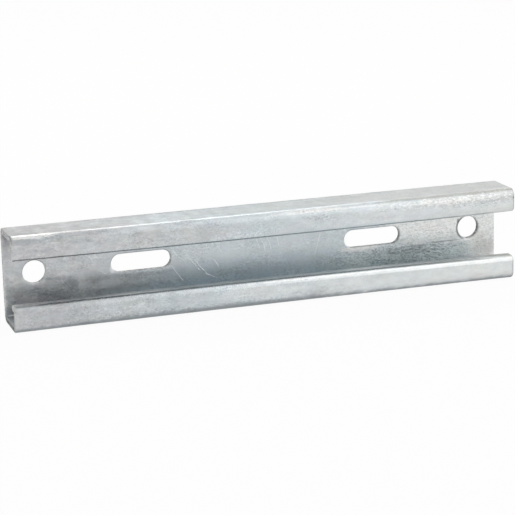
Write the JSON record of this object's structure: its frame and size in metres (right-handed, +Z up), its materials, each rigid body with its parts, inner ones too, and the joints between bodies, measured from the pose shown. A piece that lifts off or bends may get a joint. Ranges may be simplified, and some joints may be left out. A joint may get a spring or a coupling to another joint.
{
  "type": "strut channel",
  "caption": "Short C-section steel strut with inturned lips, a round hole near each end of its web and slots between, for framing and for hanging services.",
  "frame": {"origin": "middle of the underside of the lower flange, midway along the length", "axes": "+X along the channel, +Y from the open lipped side to the back of the web, +Z up from lower to upper flange"},
  "size_m": [0.225, 0.023, 0.041],
  "materials": {
    "galvanised_steel": "hot-dip galvanised steel, soft satin grey with faint clouding and rolling streaks"
  },
  "bodies": {
    "root": {"channel": "galvanised_steel"}
  },
  "joints": []
}
